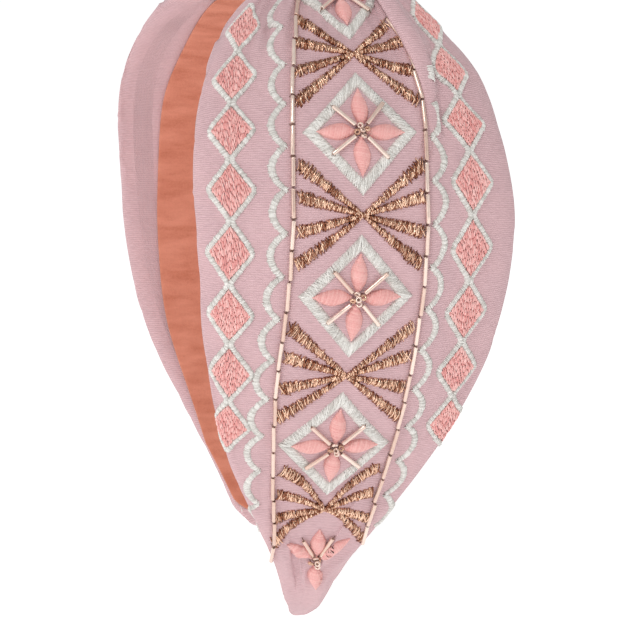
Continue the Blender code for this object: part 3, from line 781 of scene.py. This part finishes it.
def add_bead(skin, parts, start, end, lift=0.12):
    """One bugle bead from start to end, given as (s, across), with its thread through it."""
    s, across = np.array([start, end], float).T
    ends, ups = skin.at(s, across, BEAD_RADIUS + lift)
    middle_point, _ = skin.at(s.mean(), across.mean(), BEAD_RADIUS + lift)
    along = unit(ends[1] - ends[0])
    up = unit(ups.mean(axis=0) - along * (ups.mean(axis=0) @ along))
    centre = ends.mean(axis=0)
    centre = centre + up * max(float((middle_point - centre) @ up), 0.0)
    length = np.linalg.norm(ends[1] - ends[0])
    parts.add(*bead_mesh(centre, along, up, length, BEAD_RADIUS, BEAD_HOLE), RANDOM.random())
    line = np.array([centre - along * (length / 2 + 0.5), centre - along * (length / 2 + 0.1),
                     centre + along * (length / 2 + 0.1), centre + along * (length / 2 + 0.5)])
    line[[0, 3]] -= up * (BEAD_RADIUS + 0.35)
    parts.add(*tubes(line[None], np.broadcast_to(up, (1, 4, 3)), 0.13), 0.5, 1)


def bead_line_across(s, row):
    across = 16.4 - 1.5 * (1 - ramp(s, 30, 75)) - 4.6 * ramp(s, 130, 200)
    if row > 0:
        across = np.minimum(across - 0.5 * (1 - ramp(s, 80, 120)), (fold_line(s) - 0.2) / pattern_scale(s))
    return row * across


def make_bead_line(skin, row):
    """Bugle beads laid end to end, with a couching stitch over the thread at most joints."""
    parts = Parts()
    first = 26.2 if row < 0 else 43.0
    count = int((skin.arm.tip_s - BEADS_SHORT_OF_TIP - first) / BEAD_PITCH)
    for k in range(count + 1):
        s = first + k * BEAD_PITCH
        ends = [(q, bead_line_across(q, row) + RANDOM.normal(0, 0.12)) for q in (s, s + BEAD_LENGTH)]
        add_bead(skin, parts, *ends)
        if RANDOM.random() < 0.35:
            continue
        joint = s - (BEAD_PITCH - BEAD_LENGTH) / 2
        across = bead_line_across(joint, row)
        reach = RANDOM.uniform(0.55, 0.85)
        starts = [(joint + RANDOM.normal(0, 0.12), across - reach), (joint + 0.2, across - reach * 0.7)]
        ends = [(joint + RANDOM.normal(0, 0.12), across + reach), (joint - 0.2, across + reach * 0.8)]
        parts.add(*sew(skin, starts, ends, 0.8, 0.1), 1)
    return parts


def make_bead_cross(skin, s0, across0, angles):
    """Bugle beads between the petals, and seed beads with a few brown stitches in the middle."""
    parts = Parts()
    scale = max(float(pattern_scale(s0)), 0.8) / float(pattern_scale(s0))
    for angle in angles:
        turn = angle + RANDOM.normal(0, 0.05)
        ends = [(s0 + r * math.cos(turn), across0 + r * math.sin(turn) * scale) for r in (2.1, 9.0)]
        add_bead(skin, parts, *ends, lift=0.35)
    ring = 4
    for k in range(ring + 1):
        turn = 2 * math.pi * k / ring + 0.3
        r = 0.0 if k == ring else 1.3
        s, across = s0 + r * math.cos(turn), across0 + r * math.sin(turn) * scale
        centre, up = skin.at(s, across, 1.3 if k < ring else 1.75)
        side = unit(np.cross(up, [math.cos(turn), math.sin(turn), 0.3]))
        tilt = unit(up + 0.9 * side)
        parts.add(*seed_bead(centre, tilt, unit(np.cross(tilt, up + 1e-3)), 0.85, 0.3),
                  RANDOM.random(), 0 if k % 2 == 0 else 2)
    turns = RANDOM.uniform(0, math.pi, 7)
    starts = [(s0 + 1.7 * math.cos(a), across0 + 1.7 * math.sin(a) * scale) for a in turns]
    ends = [(s0 - 1.7 * math.cos(a), across0 - 1.7 * math.sin(a) * scale) for a in turns]
    parts.add(*sew(skin, starts, ends, RANDOM.uniform(1.3, 2.1, 7), 0.11), 1)
    return parts


# ---------------------------------------------------------------- lining, knot and crown


def make_lining(arm, start, end, rows):
    """A suede strip with a soft cut edge, as points and faces on the left side; s may be negative."""
    s = np.linspace(start, end, rows)[:, None]
    size = np.abs(s)
    front, back = arm.front_edge(size), arm.back_edge(size)
    half = through(LINING_HALF, size)
    margin = 2.4 - 2.1 * ramp(size, 165, 182)
    blunt = np.sqrt(np.maximum(1 - np.maximum(size - end + 5, 0) ** 2 / 26, 0.02)) if end > 100 else 1.0
    low = np.maximum(arm.middle(size) - half, margin - front) * blunt
    high = np.minimum(arm.middle(size) + half, back - margin) * blunt
    tau = np.sin(np.linspace(-math.pi / 2, math.pi / 2, 25))[None, :]
    v = (low + high) / 2 + (high - low) / 2 * tau
    face = lining_seat(size) + LINING_THICK + 0.4 * (1 - ramp(size, 20, 27))
    uneven = 0.08 * np.sin(0.31 * s + 0.2 * v) * np.sin(0.23 * v + 0.09 * s)
    top = face + uneven - 0.4 * (1 - np.sqrt(np.maximum(1 - tau ** 6, 0)))
    under = face - LINING_THICK + 0 * v
    v_ring = np.concatenate([v, v[:, ::-1]], axis=1)
    depth = np.concatenate([top, under[:, ::-1]], axis=1)
    points = place(np.abs(s), v_ring, depth)
    points[..., 0] *= np.where(s < 0, -1.0, 1.0)
    uv = np.stack([np.broadcast_to(s, v_ring.shape), v_ring], axis=-1) / 100
    columns = v_ring.shape[1]
    faces = [grid_faces(rows, columns, wrap=True),
             np.arange(columns)[None, ::-1], (np.arange(columns) + (rows - 1) * columns)[None]]
    return points.reshape(-1, 3), faces, uv.reshape(-1, 2)


def superellipse(angle, half_v, top, bottom, power):
    c, d = np.cos(angle), np.sin(angle)
    mid, half_depth = (top + bottom) / 2, (bottom - top) / 2
    return (np.sign(c) * np.abs(c) ** (2 / power) * half_v,
            mid + np.sign(d) * np.abs(d) ** (2 / power) * half_depth)


# The loop's half length along the band, and its hole and rim: half width, top, bottom and power.
KNOT_RUN = 20.6
KNOT_HOLE = (16.9, -4.0, 9.75, 3.0)
KNOT_RIM = (22.3, -16.3, 11.2, 2.35)
# Pleats of the loop: where along s, how far they wander, how deep and how wide they are.
KNOT_PLEATS = ((-14.2, 1.8, 2.0, 0.9), (-9.4, -1.6, 2.9, 1.1), (-4.6, 2.2, 1.9, 0.8), (-0.2, -2.0, 2.6, 1.0),
               (4.6, 2.3, 3.1, 1.2), (9.6, -1.8, 2.0, 0.8), (14.6, 1.4, 1.7, 0.9))


def make_knot_grid():
    """The padded loop round the crown, pleated along its run. Rings go round its cross section."""
    around, section = 180, 132
    turn = 2 * math.pi * np.arange(around)[:, None] / around
    cross = 2 * math.pi * np.arange(section)[None, :] / section
    underneath = ramp(np.sin(turn), 0.2, 0.95)
    side = np.abs(np.cos(turn))
    run = KNOT_RUN - 2.6 * side ** 2 - 3.6 * underneath
    s = run * np.sign(np.cos(cross)) * np.abs(np.cos(cross)) ** 0.75
    outer_side = np.sin(cross) > 0
    dome = np.abs(np.sin(cross)) ** 0.55
    hole_v, hole_d = superellipse(turn, *KNOT_HOLE)
    rim_v, rim_d = superellipse(turn, *KNOT_RIM)
    share = np.where(outer_side, dome, 0.0)
    v = hole_v + (rim_v - hole_v) * share
    depth = hole_d + (rim_d - hole_d) * share
    out_v, out_d = np.cos(turn), np.sin(turn)
    pleats = np.zeros_like(v)
    for place_s, drift, deep, wide in KNOT_PLEATS:
        line = (place_s + drift * np.sin(turn * 2 + place_s)) * run / KNOT_RUN
        pleats -= deep * np.exp(-np.abs(s - line) / wide)
    pleats += 0.6 * np.sin(0.5 * s + 2 * np.sin(turn)) + 0.25 * np.sin(3 * turn + 0.3 * s)
    pleats *= share * (1 - 0.75 * underneath)
    v = v + out_v * (pleats - np.where(outer_side, 0.0, 0.1))
    depth = depth + out_d * pleats
    points = place(np.abs(s), v, depth)
    points[..., 0] *= np.where(s < 0, -1.0, 1.0)
    length = turn * 17.0
    uv = np.stack([np.broadcast_to(length, s.shape), s], axis=-1) / 100
    return points, uv


# ---------------------------------------------------------------- materials


class Look:
    """A node tree being filled in, with short ways to add procedural nodes."""

    def __init__(self, tree):
        self.nodes, self.links = tree.nodes, tree.links

    def feed(self, socket, value):
        """Give a socket a colour, a number or another node's output."""
        if isinstance(value, tuple):
            socket.default_value = (*value, 1)
        elif isinstance(value, (int, float)):
            socket.default_value = value
        else:
            self.links.new(value, socket)

    def mix(self, factor, low, high):
        mixer = self.nodes.new("ShaderNodeMix")
        mixer.data_type = "RGBA"
        for index, value in ((0, factor), (6, low), (7, high)):
            self.feed(mixer.inputs[index], value)
        return mixer.outputs[2]

    def spread(self, value, from_min, from_max, to_min, to_max):
        node = self.nodes.new("ShaderNodeMapRange")
        for index, number in enumerate((value, from_min, from_max, to_min, to_max)):
            self.feed(node.inputs[index], number)
        return node.outputs[0]

    def combine(self, operation, a, b):
        node = self.nodes.new("ShaderNodeMath")
        node.operation = operation
        self.feed(node.inputs[0], a)
        self.feed(node.inputs[1], b)
        return node.outputs[0]

    def texture(self, kind, vector, scale, bands=None, **values):
        node = self.nodes.new("ShaderNodeTex" + kind)
        if bands:
            node.bands_direction = bands
        self.links.new(vector, node.inputs["Vector"])
        node.inputs["Scale"].default_value = scale
        for key, value in values.items():
            node.inputs[key].default_value = value
        return node.outputs["Fac"]

    def on_object(self):
        return self.nodes.new("ShaderNodeTexCoord").outputs["Object"]


class Finish(Look):
    """A Principled material; what is the same all over is set on the shader's own sockets."""

    def __init__(self, name):
        self.material = bpy.data.materials.new(name)
        self.material.use_nodes = True
        super().__init__(self.material.node_tree)
        self.shader = self.nodes["Principled BSDF"]

    def set(self, colour, values):
        self.feed(self.shader.inputs["Base Color"], colour)
        for name, value in values.items():
            self.feed(self.shader.inputs[name], value)

    def bump(self, height, distance, strength):
        node = self.nodes.new("ShaderNodeBump")
        node.inputs["Strength"].default_value = strength
        node.inputs["Distance"].default_value = distance
        self.links.new(height, node.inputs["Height"])
        self.links.new(node.outputs[0], self.shader.inputs["Normal"])

    def on_cloth(self, stretch=None):
        """Coordinates that lie in the cloth, in units of 100 mm, stretched or not."""
        weave = self.nodes.new("ShaderNodeUVMap")
        weave.uv_map = "weave"
        if stretch is None:
            return weave.outputs[0]
        mapping = self.nodes.new("ShaderNodeMapping")
        mapping.inputs["Scale"].default_value = stretch
        self.links.new(weave.outputs[0], mapping.inputs["Vector"])
        return mapping.outputs[0]

    def tone(self):
        """Each stitch's or bead's own tone, from 0 to 1."""
        attribute = self.nodes.new("ShaderNodeAttribute")
        attribute.attribute_name = "tone"
        return attribute.outputs["Fac"]


def cloth_material(name, base, dark):
    """Fine cross-ribbed cloth: ribs across the band with a painted shade in their valleys, yarn breaks along
    them and a light fuzz.
    """
    look = Finish(name)
    ribs = look.texture("Wave", look.on_cloth(), 54.0, "X", Distortion=1.8, Detail=2.0,
                        **{"Detail Scale": 2.0})
    yarn = look.texture("Wave", look.on_cloth(), 75.0, "Y", Distortion=0.6)
    slubs = look.texture("Noise", look.on_cloth((2.4, 0.5, 1)), 110.0, Detail=3.0)
    clouds = look.texture("Noise", look.on_cloth(), 9.0, Detail=2.0)
    # The colour is darker where the ribs are low, a painted shade in the rib valleys; the slubs add the
    # yarn's own uneven tone.
    shade = look.combine("ADD", look.combine("MULTIPLY", ribs, 0.42), look.combine("MULTIPLY", slubs, 0.85))
    colour = look.mix(look.spread(shade, 0.3, 0.95, 0.0, 1.0), dark, base)
    warm = tuple(min(1.0, c * k) for c, k in zip(base, (1.03, 0.97, 0.95)))
    look.set(look.mix(look.spread(clouds, 0.3, 0.7, 0.0, 0.35), colour, warm),
             {"Roughness": 0.86, "Specular IOR Level": 0.25, "Sheen Weight": 0.25, "Sheen Roughness": 0.45})
    look.bump(look.combine("ADD", ribs, look.combine("MULTIPLY", yarn, 0.25)), 0.00012, 0.8)
    return look.material


def suede_material(name):
    """Suede with a fine nap and soft strokes where it was brushed."""
    look = Finish(name)
    nap = look.texture("Noise", look.on_cloth(), 150.0, Detail=4.0, Roughness=0.7)
    strokes = look.texture("Noise", look.on_cloth((3.2, 1.0, 1)), 7.0, Detail=5.0, Roughness=0.6)
    worn = look.mix(look.spread(strokes, 0.36, 0.64, 0.0, 1.0), (0.50, 0.155, 0.095), (0.67, 0.255, 0.175))
    look.set(look.mix(look.spread(nap, 0.3, 0.7, 0.0, 0.35), worn, (0.74, 0.30, 0.19)),
             {"Roughness": 0.95, "Specular IOR Level": 0.15, "Sheen Weight": 0.3,
              "Sheen Tint": (1.0, 0.75, 0.6)})
    look.bump(nap, 0.00025, 0.6)
    return look.material


def thread_material(name, dark, light, roughness, metallic=0.0, sheen=0.0):
    """Thread whose tone differs from stitch to stitch, with a fine twist in its surface."""
    look = Finish(name)
    fibres = look.texture("Noise", look.on_object(), 2600.0, Detail=2.0)
    shade = look.combine("ADD", look.tone(), look.spread(fibres, 0.3, 0.7, -0.2, 0.2))
    rough = look.spread(fibres, 0.3, 0.7, roughness - 0.08, roughness + 0.1)
    look.set(look.mix(shade, dark, light), {"Roughness": rough, "Metallic": metallic, "Sheen Weight": sheen})
    look.bump(fibres, 0.00006, 0.6)
    return look.material


def bead_material(name, dark, light):
    """Foil-lined glass: streaks under a clear coat."""
    look = Finish(name)
    streaks = look.texture("Noise", look.on_object(), 900.0, Detail=2.0)
    shade = look.combine("ADD", look.combine("MULTIPLY", look.tone(), 0.6),
                         look.combine("MULTIPLY", streaks, 0.45))
    look.set(look.mix(shade, dark, light),
             {"Roughness": look.spread(streaks, 0.3, 0.7, 0.12, 0.26), "Metallic": 0.55,
              "Coat Weight": 0.6, "Coat Roughness": 0.05})
    look.bump(streaks, 0.00004, 0.4)
    return look.material


def plain_material(name, dark, light, roughness, scale, distance):
    look = Finish(name)
    grain = look.texture("Noise", look.on_object(), scale, Detail=3.0)
    look.set(look.mix(grain, dark, light), {"Roughness": roughness})
    look.bump(grain, distance, 0.5)
    return look.material


# The darker pink is partly the painted shade of the rib valleys and partly the yarn's own tone.
PINK = cloth_material("pink_ribbed_cloth", (0.74, 0.505, 0.53), (0.53, 0.335, 0.355))
SUEDE = suede_material("rust_suede_nap")
CREAM = thread_material("cream_thread_satin", (0.60, 0.57, 0.53), (0.90, 0.88, 0.84), 0.5, sheen=0.2)
CORAL = thread_material("coral_thread_satin", (0.79, 0.31, 0.29), (0.97, 0.60, 0.56), 0.36, sheen=0.2)
# The copper's dark brown end is a painted shade and its pale gold end a painted glint; each stitch takes a
# random tone between them.
COPPER = thread_material("copper_thread_foil", (0.30, 0.11, 0.06), (1.0, 0.70, 0.52), 0.26, metallic=1.0)
BROWN = thread_material("brown_beading_thread", (0.13, 0.06, 0.045), (0.34, 0.19, 0.14), 0.6)
GLASS = bead_material("champagne_glass", (0.66, 0.42, 0.33), (0.97, 0.80, 0.70))
SEED = bead_material("copper_glass", (0.42, 0.20, 0.12), (0.90, 0.60, 0.42))
FOAM = plain_material("foam_cells", (0.72, 0.70, 0.62), (0.88, 0.86, 0.80), 1.0, 1200.0, 0.0003)
CORE = plain_material("core_plastic_moulded", (0.76, 0.76, 0.74), (0.82, 0.82, 0.80), 0.42, 300.0,
                      0.00005)

# ---------------------------------------------------------------- building both arms

LEFT = Arm("left", 1, tip_s=220.0, round_s=211.0, slimming=0.0, fewer=0, lining_gap=5.5)
RIGHT = Arm("right", -1, tip_s=211.0, round_s=203.0, slimming=1.2, fewer=1, lining_gap=3.0)


def attach(piece, arm, slot, *replaced):
    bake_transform(piece)
    if replaced:
        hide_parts(*(f"{arm.name}_{node}" for node in replaced))
    return piece


def one_sided(points, faces, arm):
    """The left arm's points and faces, or their mirror image for the right arm."""
    if arm.side > 0:
        return points, faces
    return points * ACROSS_X, [f[:, ::-1] for f in faces]


def make_cover(arm):
    """The settled cover as a closed skin, and the surface that the embroidery is sewn to."""
    grid, girth = cover_grid(arm)
    rows, columns = grid.shape[:2]
    quads = grid_faces(rows, columns, wrap=True)
    held = np.zeros((rows, columns))
    held[:, OUTER_COUNT:] = 1.0
    held[arm.rows < SETTLE_FROM_S] = 1.0
    held[-3:] = 1.0
    first = 2 * ARC_COLUMNS + FOLD_FIRST
    in_lap = (fold_strength(arm.rows) > 0.02)[:, None]
    held[:, first - 2:first + len(FOLD_BLOCK) + 2] += in_lap
    grid = settle(grid.reshape(-1, 3), quads, np.minimum(held, 1).ravel()).reshape(rows, columns, 3)
    uv = np.stack([np.broadcast_to(arm.rows[:, None], girth.shape), girth], axis=-1).reshape(-1, 2) / 100
    first_ring = np.arange(columns)[None]
    last_ring = (np.arange(columns) + (rows - 1) * columns)[None, ::-1]
    points, faces = one_sided(grid.reshape(-1, 3), [quads[:, ::-1], last_ring, first_ring], arm)
    cover = new_object(f"{arm.name}_cover_cloth", points, faces, [PINK], uv=uv)
    attach(cover, arm, "pink_cloth", "cover")
    make_foam(arm)
    return Skin(arm, grid[:, :OUTER_COUNT])


def make_foam(arm):
    """The foam pad, which fills the cover inside its lap and stays clear of the settled cloth."""
    grid, _ = cover_grid(arm, lapped=0.0, inset=FOAM_GAP)
    inside = grid[(arm.rows > FOAM_ENDS[0]) & (arm.rows < FOAM_ENDS[1])]
    rows, columns = inside.shape[:2]
    faces = [grid_faces(rows, columns, wrap=True)[:, ::-1], np.arange(columns)[None],
             (np.arange(columns) + (rows - 1) * columns)[None, ::-1]]
    foam = new_object(f"{arm.name}_foam_pad", *one_sided(inside.reshape(-1, 3), faces, arm), [FOAM])
    attach(foam, arm, "foam", "foam")


def embroider(arm, skin):
    def add(parts, name, materials, slot, node=None, smooth=True):
        piece = parts.build(f"{arm.name}_{name}", materials, smooth, mirror=arm.side < 0)
        attach(piece, arm, slot, *([node] if node else []))

    for row, label in ((-1, "front"), (1, "back")):
        add(make_chain_outline(skin, row), f"diamond_outline_{label}", [CREAM], "cream_thread",
            f"diamond_chain_{label}")
        add(make_chain_fill(skin, row), f"diamond_fill_{label}", [CORAL], "coral_thread")
        add(make_scallops(skin, row), f"scallop_stitches_{label}", [CREAM], "cream_thread",
            f"scallop_line_{label}")
        add(make_bead_line(skin, row), f"bugle_beads_{label}", [GLASS, BROWN], "champagne_bead",
            f"bead_line_{label}")
    for k in range(FRAME_COUNT + 1):
        s0, across0, petals, beads = FIRST_FRAME_S + k * PATTERN_PITCH, 0.0, QUARTERS, DIAGONALS
        if k < FRAME_COUNT:
            add(make_frame(skin, s0), f"frame_stitches_{k + 1}", [CREAM], "cream_thread",
                f"diamond_frame_{k + 1}")
            add(make_fan(skin, s0 + PATTERN_PITCH / 2), f"fan_thread_{k + 1}", [COPPER], "copper_thread",
                f"copper_fan_{k + 1}", smooth=False)
        else:
            (s0, across0), petals, beads = LAST_FLOWER, LAST_PETALS, LAST_BEADS
        add(make_flower(skin, s0, across0, petals), f"petal_stitches_{k + 1}", [CORAL], "coral_thread",
            f"flower_{k + 1}")
        add(make_bead_cross(skin, s0, across0, beads), f"cross_beads_{k + 1}", [GLASS, BROWN, SEED],
            "champagne_bead", f"bead_cross_{k + 1}")


def repaint(node, material):
    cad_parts[node].data.materials.clear()
    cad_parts[node].data.materials.append(material)


for arm in (LEFT, RIGHT):
    embroider(arm, make_cover(arm))
    points, faces, uv = make_lining(arm, LINING_CUT_S, arm.tip_s - arm.lining_gap, 140)
    lining = new_object(f"{arm.name}_lining_suede", *one_sided(points, faces, arm), [SUEDE], uv=uv)
    attach(lining, arm, "suede", "lining")
    repaint(f"{arm.name}_core", CORE)
repaint("core_crown", CORE)
points, faces, uv = make_lining(LEFT, -LINING_CUT_S, LINING_CUT_S, 22)
crown_lining = new_object("crown_lining_suede", points, faces, [SUEDE], uv=uv)
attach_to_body(crown_lining, "crown")
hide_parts("lining_crown")

knot_points, knot_uv = make_knot_grid()
around, section = knot_points.shape[:2]
knot_faces = grid_faces(around + 1, section, wrap=True)[:, ::-1] % (around * section)
knot = new_object("knot_loop_cloth", knot_points.reshape(-1, 3), [knot_faces], [PINK],
                  uv=knot_uv.reshape(-1, 2))
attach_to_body(knot, "crown")
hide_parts("knot_loop", "crown_gather")

# ---------------------------------------------------------------- floor, light and camera


# Name, place, aim, size in metres and power in watts.
LIGHTS = (("key", (0.8, -0.7, 0.9), (0.03, 0, -0.07), 0.6, 6.0),
          ("fill", (1.2, 0.9, 0.2), (0.03, 0, -0.07), 1.2, 1.5),
          ("front", (0.2, -1.3, 0.0), (0.0, 0, -0.07), 1.2, 3.0))


def area_light(name, place_at, aim, size, power):
    data = bpy.data.lights.new(name, "AREA")
    data.shape = "DISK"
    data.size = size
    data.energy = power
    lamp = bpy.data.objects.new(name, data)
    lamp.location = place_at
    lamp.rotation_euler = (Vector(aim) - Vector(place_at)).to_track_quat("-Z", "Y").to_euler()
    bpy.context.scene.collection.objects.link(lamp)


def make_stage():
    """A pale floor under the band and a white studio round it."""
    look = Finish("pale_floor")
    grain = look.texture("Noise", look.on_object(), 40.0, Detail=2.0)
    look.set(look.mix(grain, (0.93, 0.93, 0.93), (0.96, 0.96, 0.96)),
             {"Roughness": 0.9, "Emission Color": (1, 1, 1), "Emission Strength": 0.55})
    level = cad_low.z - 0.03
    size = 6.0
    corners = np.array([(-size, -size, level), (size, -size, level), (size, size, level),
                        (-size, size, level)]) / MM
    new_object("floor", corners, [np.array([[0, 1, 2, 3]])], [look.material], smooth=False)
    world = bpy.data.worlds.new("studio")
    world.use_nodes = True
    look = Look(world.node_tree)
    ray = look.nodes.new("ShaderNodeLightPath")
    background = look.nodes["Background"]
    look.feed(background.inputs[0], (1, 1, 1))
    look.feed(background.inputs[1], look.spread(ray.outputs["Is Camera Ray"], 0, 1, 0.5, 1.0))
    bpy.context.scene.world = world


CAMERA_AZIMUTH, CAMERA_ELEVATION, CAMERA_ROLL = 75.978, 12.916, 2.558
CAMERA_DISTANCE = 0.6426
CAMERA_AIM = Vector((0, 0, -0.0726))
CAMERA_LENS = 141.1
CAMERA_SHIFT = (0.0296, -0.0692)


def make_camera():
    a, e, r = (math.radians(x) for x in (CAMERA_AZIMUTH, CAMERA_ELEVATION, CAMERA_ROLL))
    back = Vector((math.sin(a) * math.cos(e), -math.cos(a) * math.cos(e), math.sin(e)))
    right = (-back).cross(Vector((0, 0, 1))).normalized()
    up = right.cross(-back)
    turned_right = right * math.cos(r) + up * math.sin(r)
    turned_up = up * math.cos(r) - right * math.sin(r)
    data = bpy.data.cameras.new("camera")
    data.lens = CAMERA_LENS
    data.shift_x, data.shift_y = CAMERA_SHIFT
    camera = bpy.data.objects.new("camera", data)
    turn = Matrix((turned_right, turned_up, back)).transposed()
    camera.matrix_world = Matrix.Translation(CAMERA_AIM + back * CAMERA_DISTANCE) @ turn.to_4x4()
    bpy.context.scene.collection.objects.link(camera)
    bpy.context.scene.camera = camera


make_stage()
for light in LIGHTS:
    area_light(*light)
make_camera()
bpy.context.scene.view_settings.view_transform = "Standard"
